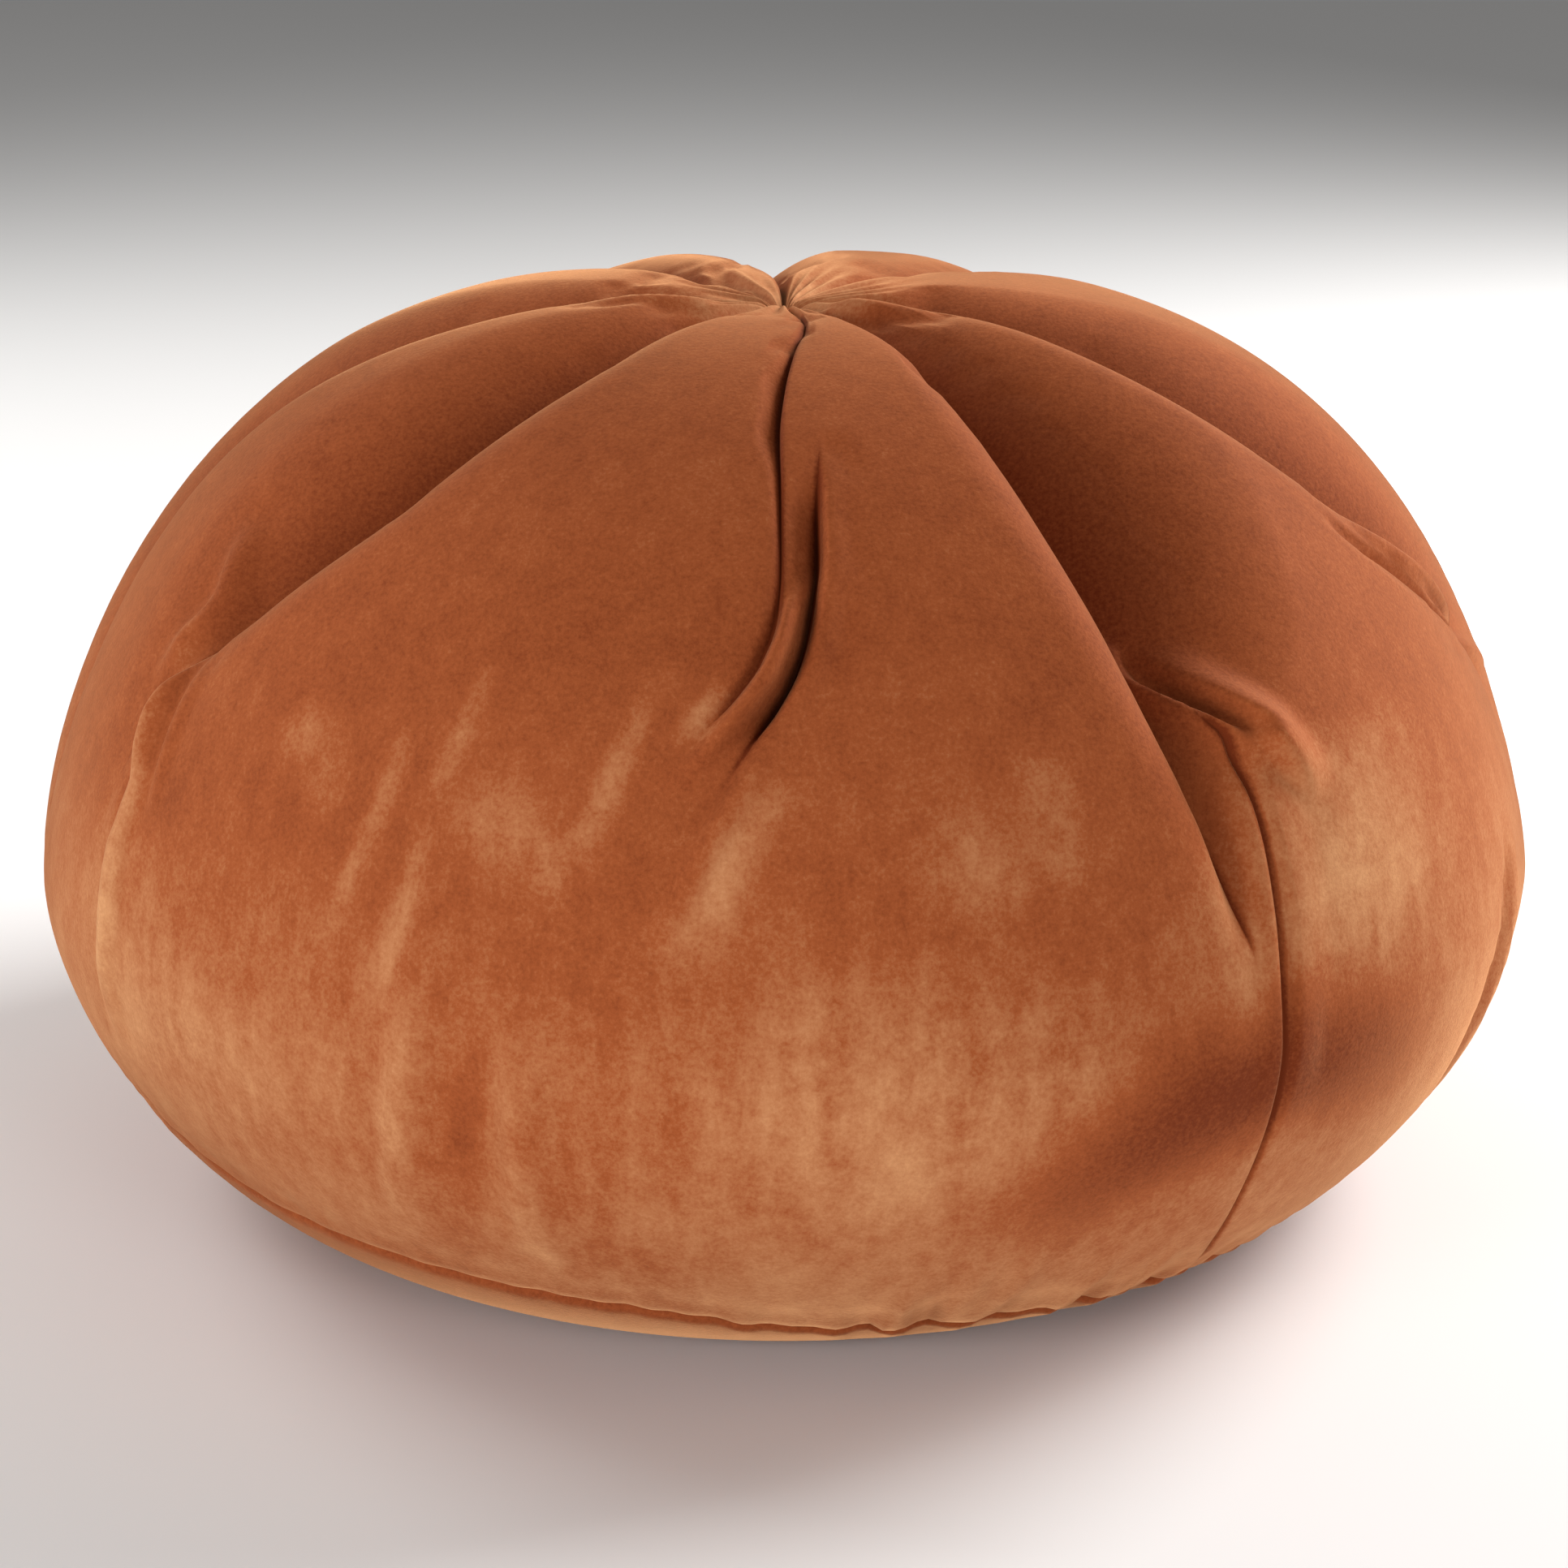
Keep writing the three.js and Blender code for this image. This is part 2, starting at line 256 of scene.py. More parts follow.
def walk_outline():
    """Way down the cloth, radius and height along the plain outline, without pleats."""
    turn = np.pi / 2 * np.linspace(0, 1, OUTLINE_STEPS) ** 2
    crown = (CUSHION_RADIUS * np.sin(turn) ** (2 / CROWN_ACROSS),
             WIDEST_HEIGHT + (CROWN_HEIGHT - WIDEST_HEIGHT) * np.cos(turn).clip(0) ** (2 / CROWN_UP))
    turn = np.pi / 2 * np.linspace(0, 1, OUTLINE_STEPS)[1:]
    side = (FOOT_RADIUS + (CUSHION_RADIUS - FOOT_RADIUS) * np.cos(turn).clip(0) ** (2 / FOOT_CURVE),
            WIDEST_HEIGHT * (1 - np.sin(turn) ** (2 / FOOT_CURVE)))
    radius = np.concatenate([crown[0], side[0]])
    height = np.concatenate([crown[1], side[1]])
    steps = np.hypot(np.diff(radius), np.diff(height))
    return np.concatenate([[0], np.cumsum(steps)]), radius, height


OUTLINE = walk_outline()
FOOT_DOWN = OUTLINE[0][-1]

# The base seam wanders round the foot: how much lower than SEAM_DOWN it lies, by azimuth. It is
# gathered a little all round, and more at the right front, where the panel is drawn under.
# SEAM_GATHERS gives the height of those gathers, by azimuth too.
SEAM_LINE = (
    (-180, -10), (-150, -17), (-135, -5), (-115, 1), (-100, 6), (-92, 14), (-84, 19), (-70, 21),
    (-58, 24), (-38, 22), (0, 12), (60, 2), (120, -6), (180, -10))
SEAM_LINE_START = 300.0
SEAM_GATHERS = (
    (-180, 0.08), (-120, 0.08), (-98, 0.2), (-82, 0.6), (-56, 0.55), (-36, 0.2), (60, 0.12),
    (180, 0.08))
# Gathers: how many go round, how far each wanders from its even place, and how often it does so
SEAM_RIPPLES = ((89, 2.6, 7), (53, 1.5, 4))
SEAM_GATHER_REACH = 15.0
TOP_RIPPLE = (26, 1.8, 5)
TOP_GATHER_HEIGHT = 0.6
TOP_GATHER_DOWN = 16.0
TOP_GATHER_REACH = 16.0
# The hollow round the gather is steep at the back and runs out slowly in front, by azimuth in mm
GATHER_REACH = ((-180, 32), (-135, 40), (-90, 46), (-45, 40), (0, 30), (90, 24), (180, 32))


def on_outline(down):
    return np.interp(down, OUTLINE[0], OUTLINE[1]), np.interp(down, OUTLINE[0], OUTLINE[2])


def read_sections(sections, down):
    """Every column of a table at a way down, by a smooth curve that never overshoots."""
    table = np.array(sections, float)
    stations, values = table[:, 0], table[:, 1:]
    span = np.diff(stations)
    slope = np.diff(values, axis=0) / span[:, None]
    before, after = slope[:-1], slope[1:]
    same = before * after > 0
    turn = np.zeros_like(values)
    turn[1:-1] = np.where(same, 2 * before * after / np.where(same, before + after, 1), 0)
    place = np.clip(down, stations[0], stations[-1])
    row = np.clip(np.searchsorted(stations, place, side="right") - 1, 0, len(span) - 1)
    share = ((place - stations[row]) / span[row])[:, None]
    reach = span[row][:, None]
    return ((2 * share**3 - 3 * share**2 + 1) * values[row]
            + (share**3 - 2 * share**2 + share) * reach * turn[row]
            + (3 * share**2 - 2 * share**3) * values[row + 1]
            + (share**3 - share**2) * reach * turn[row + 1]).T


def by_azimuth(table, azimuth):
    """The value of a table of azimuths, in degrees, at any azimuth."""
    around = (np.degrees(azimuth).ravel() + 180) % 360 - 180
    return read_sections(table, around)[0].reshape(azimuth.shape)


def ripple(azimuth, number, wander, wander_number):
    """Waves round the cushion, unevenly spaced."""
    return np.sin(number * azimuth + wander * np.sin(wander_number * azimuth))


def gathers(azimuth, down):
    """Height of the small gathers along the base seam and round the stitches at the top."""
    seam_share = np.exp(-(((down - SEAM_DOWN) / SEAM_GATHER_REACH) ** 2))
    waves = sum(ripple(azimuth, *row) for row in SEAM_RIPPLES)
    seam = by_azimuth(SEAM_GATHERS, azimuth) * waves * seam_share
    top_share = np.exp(-(((down - TOP_GATHER_DOWN) / TOP_GATHER_REACH) ** 2))
    top = TOP_GATHER_HEIGHT * ripple(azimuth, *TOP_RIPPLE) * top_share
    return seam + top


def wall_depth(share, curl):
    """Share of a pleat's depth at a share of its wall's reach: 1 at the crease, 0 on the lobe."""
    inside = 1 - np.clip(share, 0, 1)
    return 1 - (1 - inside**curl) ** (1 / curl)


def turn_from(azimuth, degrees):
    """The turn to every azimuth from one that is given in degrees, the shorter way round."""
    return (azimuth - np.radians(degrees) + np.pi) % (2 * np.pi) - np.pi


def walls_of(pleat, azimuth, down):
    """A pleat as every point has it: the turn from its crease, its depth, how far its left and
    right walls reach, and how far its bottom leans."""
    crease, depth, left, right, lean = (x[:, None] for x in read_sections(pleat["sections"], down[:, 0]))
    return turn_from(azimuth, crease), depth, left, right, lean


def fold_rise(fold, azimuth, down, radius):
    """Height of a small fold over every point: a soft bump across its path, fading at its ends."""
    path = np.array(fold["path"], float)
    rise = np.zeros_like(down)
    nearest = np.full_like(down, np.inf)
    legs = np.hypot(np.diff(path[:, 0]), np.radians(np.diff(path[:, 1])) * CUSHION_RADIUS)
    along = np.concatenate([[0], np.cumsum(legs)])
    for leg, (start, end) in enumerate(zip(path[:-1], path[1:])):
        run = np.radians(end[1] - start[1]) * radius
        drop = end[0] - start[0]
        across, over = turn_from(azimuth, start[1]) * radius, down - start[0]
        share = np.clip((across * run + over * drop) / (run**2 + drop**2), 0, 1)
        away = np.hypot(across - share * run, over - share * drop)
        side = np.where(across * drop - over * run < 0, fold["reach"][0], fold["reach"][1])
        bump = (1 + np.cos(np.pi * np.clip(away / side, 0, 1))) / 2
        fade = np.sin(np.pi * (along[leg] + share * legs[leg]) / along[-1]).clip(0) ** FOLD_FADE
        closer = away < nearest
        rise = np.where(closer, fold["height"] * bump * fade, rise)
        nearest = np.minimum(nearest, away)
    return rise


def cushion_surface(azimuth, down, sink=0.0):
    """Points of the cushion's surface, in mm, on a grid whose rows each lie one way down."""
    wander = np.interp(down, (SEAM_LINE_START, SEAM_DOWN, FOOT_DOWN), (0, 1, 0))
    place = down + wander * by_azimuth(SEAM_LINE, azimuth)
    radius, height = on_outline(place)
    ahead, behind = np.minimum(place + TANGENT_REACH, FOOT_DOWN), np.maximum(place - TANGENT_REACH, 0)
    run, rise = (np.subtract(*pair) for pair in zip(on_outline(ahead), on_outline(behind)))
    length = np.hypot(run, rise)
    run, rise = run / length, rise / length
    hollow = GATHER_DIP * np.exp(-((radius / by_azimuth(GATHER_REACH, azimuth)) ** 2))
    inwards = sink + hollow - gathers(azimuth, down)
    sideways = np.zeros_like(azimuth)
    for pleat in PLEATS:
        turn, depth, left, right, lean = walls_of(pleat, azimuth, down)
        across = turn * radius
        share = np.where(across < 0, wall_depth(-across / left, pleat["curls"][0]),
                         wall_depth(across / right, pleat["curls"][1]))
        inwards += depth * share
        sideways += lean * share**LEAN_CURL
    for fold in FOLDS:
        inwards -= fold_rise(fold, azimuth, down, radius)
    return np.stack([
        (radius + rise * inwards) * np.cos(azimuth) - sideways * np.sin(azimuth),
        (radius + rise * inwards) * np.sin(azimuth) + sideways * np.cos(azimuth),
        height - run * inwards,
    ], axis=-1)


def ring_azimuths(down):
    """Azimuths of the columns on each row: crowded towards the creases that they follow."""
    creases = [read_sections(pleat["sections"], down)[0] for pleat in PLEATS]
    creases.append(creases[0] + 360)
    lobes = []
    for pleat, here, there in zip(PLEATS, creases[:-1], creases[1:]):
        even = np.arange(pleat["columns"]) / pleat["columns"]
        crowded = (1 - np.cos(np.pi * even)) / 2
        share = EVEN_SHARE * even + (1 - EVEN_SHARE) * crowded
        lobes.append(here[:, None] + share[None, :] * (there - here)[:, None])
    return np.radians(np.concatenate(lobes, axis=1))


def surface_rings(down, sink=0.0, columns_down=None):
    """Rings of points at ways down the cloth, with the azimuth and way down of each point."""
    azimuth = ring_azimuths(down if columns_down is None else np.full_like(down, columns_down))
    places = np.repeat(down[:, None], azimuth.shape[1], axis=1)
    sinks = np.broadcast_to(sink, down.shape)[:, None]
    return cushion_surface(azimuth, places, sinks), azimuth, places


# Marks in the nap, where the pile has been brushed: how much, and how far to either side in mm, along
# stations like those of the folds. A mark below nothing is darker. Some marks are painted light or
# painted shade, as noted at each. The table after the marks gives the nap between them, by way down: it
# is paler at the gather, and paler low on the cushion, where it is painted sheen.
NAP_MARKS_AND_PAINTED_SHADING = (
    {"name": "tip of the flap", "height": 0.3, "reach": (5, 7), "path": (
        (208, -94.2), (216, -96), (226, -98))},
    {"name": "below the front fold", "height": 0.36, "reach": (10, 12), "path": (
        (230, -90.6), (242, -92), (256, -93.8), (268, -95.6), (280, -97.5))},
    {"name": "first left stroke", "height": 0.3, "reach": (6, 7), "path": (
        (204, -99.4), (218, -100.8), (236, -102.4), (256, -104))},
    {"name": "second left stroke", "height": 0.28, "reach": (5, 6), "path": (
        (206, -112.8), (224, -114), (246, -115.6))},
    {"name": "third left stroke", "height": 0.3, "reach": (5, 6), "path": (
        (226, -118.4), (246, -119.4), (270, -121), (290, -122.4))},
    {"name": "fourth left stroke", "height": 0.3, "reach": (5, 7), "path": (
        (248, -115), (270, -116.2), (300, -118))},
    {"name": "left patch", "height": 0.22, "reach": (14, 14), "path": (
        (228, -130), (238, -126), (248, -122))},
    {"name": "middle left patch", "height": 0.22, "reach": (20, 20), "path": (
        (236, -113), (252, -108), (268, -104))},
    {"name": "light band low on the left", "height": 0.36, "reach": (7, 10), "path": (
        (288, -115), (320, -116), (352, -117.4), (376, -118))},
    {"name": "light fold beside it", "height": 0.3, "reach": (7, 9), "path": (
        (326, -108.4), (352, -107.6), (376, -107))},
    {"name": "middle patch", "height": 0.28, "reach": (18, 22), "path": (
        (244, -81), (258, -77), (268, -73))},
    {"name": "right of the middle", "height": 0.22, "reach": (12, 12), "path": (
        (228, -72), (248, -71), (266, -70))},
    # Painted sheen: a broad paler patch low in the middle
    {"name": "low middle", "height": 0.3, "reach": (34, 46), "path": (
        (310, -96), (314, -84), (312, -74), (300, -65))},
    {"name": "left of the side seam", "height": 0.25, "reach": (16, 12), "path": (
        (258, -60), (290, -58), (316, -58))},
    # Painted light: the right lobe made paler where the key lamp falls on it
    {"name": "right lobe", "height": 0.44, "reach": (48, 62), "path": (
        (234, -46), (262, -46), (288, -46), (308, -44))},
    {"name": "ridge below the left front pleat", "height": 0.35, "reach": (6, 8), "path": (
        (204, -149.5), (226, -147.4), (260, -145), (300, -145.6), (344, -146.4))},
    # Painted shade: the cloth under the right lobe's bulge, by the side seam, made darker
    {"name": "dark band by the side seam", "height": -0.62, "reach": (26, 30), "path": (
        (346, -80), (334, -70), (322, -62), (316, -54), (322, -46), (328, -36))},
    {"name": "dark stroke in the lower left", "height": -0.3, "reach": (9, 9), "path": (
        (298, -110), (324, -111), (354, -112))},
    # Painted sheen: a broad paler patch low on the left side
    {"name": "low left side", "height": 0.2, "reach": (50, 50), "path": (
        (296, -152), (320, -136), (334, -126))},
)
# Paler at the gather, and paler low on the cushion as painted sheen
NAP_AND_PAINTED_SHEEN_BY_DOWN = (
    (-1, 0.8), (16, 0.6), (45, 0.12), (200, 0.1), (260, 0.16), (315, 0.36), (350, 0.42), (375, 0.38),
    (390, 0.2), (600, 0.2))
# Painted shade: every crease and the bottom of every pleat are made darker, and so is the base panel. A
# pleat counts in full from a depth of VALLEY_DEPTH, and a crease from FULL_CREASE. The gather's stitches
# hold the cloth over HELD_DOWN of the way, and there the creases are too narrow to show, so they get
# none.
VALLEY_PAINTED_SHADE = 0.35
VALLEY_DEPTH = 30.0
VALLEY_CURL = 1.5
CREASE_PAINTED_SHADE = 0.7
CREASE_WIDTH = 1.7
CREASE_CURL = 1.2
FULL_CREASE = 2.0
HELD_DOWN = 30.0
PANEL_NAP_WITH_PAINTED_SHADE = 0.05


def brushed_nap_and_painted_shading(azimuth, down):
    """The nap at every point, with painted light and shade in it: more in the marks and low on the
    cushion, where it is partly painted sheen, and less in the creases, down in the pleats and on the
    base panel, where it is painted shade."""
    radius = on_outline(down)[0]
    nap_and_painted_shading = np.interp(down, *np.array(NAP_AND_PAINTED_SHEEN_BY_DOWN).T)
    nap_and_painted_shading += sum(fold_rise(mark, azimuth, down, radius) for mark in NAP_MARKS_AND_PAINTED_SHADING)
    valley_for_painted_shade = np.zeros_like(down)
    for pleat in PLEATS:
        turn, depth, left, right, _ = walls_of(pleat, azimuth, down)
        wall = np.where(turn < 0, left, right)
        away = np.abs(turn) * radius
        valley_for_painted_shade = np.maximum(valley_for_painted_shade, depth * wall_depth(away / wall, VALLEY_CURL))
        # Painted shade along each crease
        crease = wall_depth(away / CREASE_WIDTH, CREASE_CURL) * np.clip(depth / FULL_CREASE, 0, 1)
        nap_and_painted_shading -= CREASE_PAINTED_SHADE * crease * (down > HELD_DOWN)
    nap_and_painted_shading -= VALLEY_PAINTED_SHADE * np.clip(valley_for_painted_shade / VALLEY_DEPTH, 0, 1)
    # The base panel gets a lower nap: painted shade on the underside
    return np.where(down > SEAM_DOWN, PANEL_NAP_WITH_PAINTED_SHADE, nap_and_painted_shading)


def net_faces(count, around):
    """Faces between rings of points, whose last column closes on the first one."""
    index = np.arange(count * around).reshape(count, around)
    after = np.roll(index, -1, axis=1)
    return np.stack([index[:-1], index[1:], after[1:], after[:-1]], axis=-1).reshape(-1, 4).tolist()


def closed_skin(name, rings, azimuths, downs):
    """A closed mesh over rings of points, from the middle of the first to that of the last.
    Its UV map lies in metres: across the strip of cloth, and up from its lower edge."""
    count, around = rings.shape[:2]
    points = np.concatenate([rings.reshape(-1, 3), rings[:1].mean(1), rings[-1:].mean(1)]) * MM
    top, bottom = count * around, count * around + 1
    last_ring = (count - 1) * around
    sides = [(a, (a + 1) % around) for a in range(around)]
    fans = [(top, a, b) for a, b in sides]
    fans += [(bottom, last_ring + b, last_ring + a) for a, b in sides]
    mesh = bpy.data.meshes.new(name)
    mesh.from_pydata(points.tolist(), [], net_faces(count, around) + fans)
    across = azimuths * CUSHION_RADIUS * MM
    up = (SEAM_DOWN - downs) * MM
    cloth = np.stack([across.ravel(), up.ravel()], axis=-1)
    cloth = np.concatenate([cloth, [cloth[0], cloth[-1]]])
    corners = np.zeros(len(mesh.loops), np.int32)
    mesh.loops.foreach_get("vertex_index", corners)
    layout = cloth[corners]
    # The last column closes on the first one, one turn further on
    first_points = np.arange(0, count * around, around)
    last_column = np.isin(corners, first_points) & np.repeat(
        np.isin(np.arange(len(mesh.polygons)), closing_faces(count, around)), face_sizes(mesh))
    layout[last_column, 0] += 2 * np.pi * CUSHION_RADIUS * MM
    mesh.uv_layers.new(name="cloth").data.foreach_set("uv", layout.astype(np.float32).ravel())
    # Each point's nap, which also holds painted shade in creases, pleats and the base panel, and painted
    # light and sheen in some marks and low down
    nap_and_painted_shading = brushed_nap_and_painted_shading(azimuths, downs).ravel()
    nap_and_painted_shading = np.concatenate([nap_and_painted_shading, [nap_and_painted_shading[0], nap_and_painted_shading[-1]]])
    mesh.attributes.new("nap_and_painted_shading", "FLOAT", "POINT").data.foreach_set("value", nap_and_painted_shading.astype(np.float32))
    mesh.update()
    piece = bpy.data.objects.new(name, mesh)
    bpy.context.scene.collection.objects.link(piece)
    for polygon in mesh.polygons:
        polygon.use_smooth = True
    return piece


def face_sizes(mesh):
    sizes = np.zeros(len(mesh.polygons), np.int32)
    mesh.polygons.foreach_get("loop_total", sizes)
    return sizes


def closing_faces(count, around):
    """Numbers of the faces between the last column and the first one."""
    quads = np.arange(around - 1, (count - 1) * around, around)
    fans = (count - 1) * around + np.array([around - 1, 2 * around - 1])
    return np.concatenate([quads, fans])


# Just above the base seam the cloth tucks in: by way above the seam, how far in. The body is closed
# below it by a rim and an underside that lie just above the base panel.
SEAM_TUCK = ((5.0, 0.0), (3.4, 0.12), (2.3, 0.4), (1.5, 0.8), (0.9, 1.3), (0.45, 1.8), (0.15, 2.4))
RIM_THICKNESS = 0.6
UNDER_ROWS = 6
FLOOR_SHARES = (0.97, 0.8, 0.6, 0.4, 0.2)

downs = np.concatenate([
    np.linspace(GATHER_DOWN, KNOT_DOWN, KNOT_ROWS, endpoint=False),
    np.arange(KNOT_DOWN, SEAM_DOWN - SEAM_TUCK[0][0], BODY_ROW_STEP),
])
outer = surface_rings(downs)
away, sinks = np.array(SEAM_TUCK).T
tuck = surface_rings(SEAM_DOWN - away, sinks)
rim_sink = SEAM_TUCK[-1][1] + RIM_THICKNESS + PIECE_GAP
rim = surface_rings(SEAM_DOWN + np.array([-away[-1], away[-1]]), rim_sink, SEAM_DOWN)
under_downs = np.linspace(SEAM_DOWN, FOOT_DOWN, UNDER_ROWS)[1:-1]
under = surface_rings(under_downs, PANEL_THICKNESS + PIECE_GAP, SEAM_DOWN)


# The filling presses the cloth out, and the stitches of the pleats, the gather and the seams hold
# it. The cloth is cut a little large, by SPARE_CLOTH of its size, so it puckers where it is held.
# It starts SWELLING inside its place, and no point of it moves further than SETTLE_MOST, in mm.
SETTLE_STEP = 3
SETTLE_FRAMES = 20
SETTLE_PRESSURE = 4.0
SPARE_CLOTH = 0.004
SWELLING = 1.0
SETTLE_MOST = 5.0
HELD_OVER_SEAM = 12.0
TINY = 1e-6


def end_share(down):
    """How firmly the gather and the base seam hold the cloth, from 0 to 1."""
    return np.maximum(np.clip(1 - (down - KNOT_DOWN) / HELD_DOWN, 0, 1),
                      np.clip(1 - (SEAM_DOWN - down) / HELD_OVER_SEAM, 0, 1))


def held_share(azimuth, down):
    """How firmly stitches hold the cloth: 1 in a crease, the gather and the seams, 0 on a lobe."""
    radius = on_outline(down)[0]
    held = end_share(down)
    for pleat in PLEATS:
        turn, depth, left, right, _ = walls_of(pleat, azimuth, down)
        wall = np.where(turn < 0, left, right)
        share = wall_depth(np.abs(turn) * radius / wall, VALLEY_CURL)
        held = np.maximum(held, share * np.clip(depth / FULL_CREASE, 0, 1))
    return held


def settle(azimuths, downs, sinks):
    """The cushion's surface once its cloth has been simulated, on a coarser net of points. The
    cloth starts a little inside its place, because the filling makes it swell."""
    rings = cushion_surface(azimuths, downs, sinks[:, None] + SWELLING * (1 - end_share(downs)))
    rows = np.unique(np.append(np.arange(0, len(rings), SETTLE_STEP), len(rings) - 1))
    columns = np.arange(0, rings.shape[1], SETTLE_STEP)
    net = rings[rows][:, columns]
    count, around = net.shape[:2]
    mesh = bpy.data.meshes.new("settling_cloth")
    mesh.from_pydata((net.reshape(-1, 3) * MM).tolist(), [], net_faces(count, around))
    cloth = bpy.data.objects.new("settling_cloth", mesh)
    bpy.context.scene.collection.objects.link(cloth)
    held = held_share(azimuths[rows][:, columns], downs[rows][:, columns]).ravel()
    stitches = cloth.vertex_groups.new(name="stitches")
    for number, weight in enumerate(held.tolist()):
        stitches.add([number], weight, "REPLACE")
    modifier = cloth.modifiers.new("filling", "CLOTH")
    modifier.settings.vertex_group_mass = "stitches"
    modifier.settings.use_pressure = True
    modifier.settings.uniform_pressure_force = SETTLE_PRESSURE
    modifier.settings.shrink_min = -SPARE_CLOTH
    modifier.settings.effector_weights.gravity = 0.0
    for frame_number in range(1, SETTLE_FRAMES + 1):
        bpy.context.scene.frame_set(frame_number)
    bpy.context.view_layer.objects.active = cloth
    bpy.ops.object.modifier_apply(modifier=modifier.name)
    moved = np.empty(count * around * 3, np.float32)
    cloth.data.vertices.foreach_get("co", moved)
    bpy.data.meshes.remove(cloth.data)
    bpy.context.scene.frame_set(1)
    shift = moved.reshape(net.shape) / MM - net
    size = np.maximum(np.linalg.norm(shift, axis=-1, keepdims=True), TINY)
    shift *= np.tanh(size / SETTLE_MOST) * SETTLE_MOST / size
    # Between the net's points the shift is read off in a straight line, down and then across
    shift = np.concatenate([shift, shift[:, :1]], axis=1)
    place = np.interp(np.arange(len(rings)), rows, np.arange(count))
    row = np.minimum(place.astype(int), count - 2)
    share = (place - row)[:, None, None]
    shift = shift[row] * (1 - share) + shift[row + 1] * share
    ends = np.append(columns, rings.shape[1])
    place = np.interp(np.arange(rings.shape[1]), ends, np.arange(around + 1))
    column = np.minimum(place.astype(int), around - 1)
    share = (place - column)[None, :, None]
    shift = shift[:, column] * (1 - share) + shift[:, column + 1] * share
    return rings + shift


skin = settle(*(np.concatenate(parts) for parts in zip(outer[1:], tuck[1:])),
              np.concatenate([np.zeros(len(downs)), sinks]))
outer = (skin[:len(downs)], *outer[1:])
tuck = (skin[len(downs):], *tuck[1:])


def floor_rings(shares, height):
    """Level rings of the foot, at shares of its radius."""
    azimuth = np.repeat(ring_azimuths(np.array([SEAM_DOWN])), len(shares), axis=0)
    radius = np.array(shares)[:, None] * FOOT_RADIUS
    level = np.full_like(azimuth, height)
    points = np.stack([radius * np.cos(azimuth), radius * np.sin(azimuth), level], axis=-1)
    return points, azimuth, np.broadcast_to(FOOT_DOWN + FOOT_RADIUS - radius, azimuth.shape)


sole = floor_rings(FLOOR_SHARES, PANEL_THICKNESS + PIECE_GAP)
body = closed_skin("pleated_cushion_body", *(
    np.concatenate(parts) for parts in zip(outer, tuck, rim, under, sole)))


def linear(hex_colour):
    """An sRGB hex colour as the linear colour that a shader's socket takes."""
    channels = [int(hex_colour[i:i + 2], 16) / 255 for i in (1, 3, 5)]
    return [c / 12.92 if c <= 0.04045 else ((c + 0.055) / 1.055) ** 2.4 for c in channels] + [1.0]


def add_node(tree, kind, settings=None, inputs=None):
    """A node with its settings, and its inputs set to a value or linked to a socket."""
    node = tree.nodes.new(kind)
    for key, value in (settings or {}).items():
        setattr(node, key, value)
    for key, value in (inputs or {}).items():
        if isinstance(value, bpy.types.NodeSocket):
            tree.links.new(value, node.inputs[key])
        else:
            node.inputs[key].default_value = value
    return node


# Velvet: a short dense pile woven on a cotton ground and dyed rust. The pile looks dark where the eye
# sees down into it and pale where it is seen along its tips. It leans down the cloth, more so in the
# patches and strokes where hands and packing have brushed it, mostly low on the cushion. Its base colour
# runs from a dark tone through the dye to a pale tone. The pale tone is the dye with painted sheen mixed
# in. The dark tone is also painted shade in the creases, down in the pleats and beside the side seam.
# Dark tone: the darker pile, and painted shade in creases, pleats and low by the side seam
PILE_DARK_AND_PAINTED_SHADE = "#702D10"
PILE_MID = "#A0522A"
# Pale tone: the paler pile with painted sheen mixed in
PILE_PALE_WITH_PAINTED_SHEEN = "#D69C6C"
SHEEN_TIP = "#EBB07C"
PATCH_SIZE = 60.0
STROKE_WIDTH = 8.0
STROKE_LENGTH = 34.0
MOTTLE_SIZE = 5.0
FUZZ_SIZE = 1.2
NAP_BASE = 0.14
LEAN_EVEN = -0.12
LEAN_BRUSHED = -0.14
GRAIN_OF_STROKES = 1.1
GRAIN_OF_PATCHES = 1.3
GRAIN_OF_MOTTLE = 1.0
GRAIN_TAKEN_OFF = -0.65
TONE_OF_NAP = 0.6
TONE_OF_FUZZ = 0.42
DARK_TONE = 0.05
MID_TONE = 0.34
PALE_TONE = 0.92
PILE_RELIEF = 0.4

velvet = bpy.data.materials.new("rust_velvet_with_painted_shading")
velvet.use_nodes = True
tree = velvet.node_tree
shader = tree.nodes["Principled BSDF"]
place = add_node(tree, "ShaderNodeTexCoord").outputs["Object"]
patches = add_node(tree, "ShaderNodeTexNoise", inputs={
    "Vector": place, "Scale": 1 / (PATCH_SIZE * MM), "Detail": 3.0, "Roughness": 0.55}).outputs["Fac"]
stroke_place = add_node(tree, "ShaderNodeMapping", {"vector_type": "POINT"}, {
    "Vector": place,
    "Scale": (1 / (STROKE_WIDTH * MM), 1 / (STROKE_WIDTH * MM), 1 / (STROKE_LENGTH * MM)),
}).outputs["Vector"]
strokes = add_node(tree, "ShaderNodeTexNoise", inputs={
    "Vector": stroke_place, "Scale": 1.0, "Detail": 3.0, "Roughness": 0.5, "Distortion": 0.3,
}).outputs["Fac"]
mottle = add_node(tree, "ShaderNodeTexNoise", inputs={
    "Vector": place, "Scale": 1 / (MOTTLE_SIZE * MM), "Detail": 4.0, "Roughness": 0.65,
}).outputs["Fac"]
fuzz = add_node(tree, "ShaderNodeTexNoise", inputs={
    "Vector": place, "Scale": 1 / (FUZZ_SIZE * MM), "Detail": 3.0, "Roughness": 0.7}).outputs["Fac"]
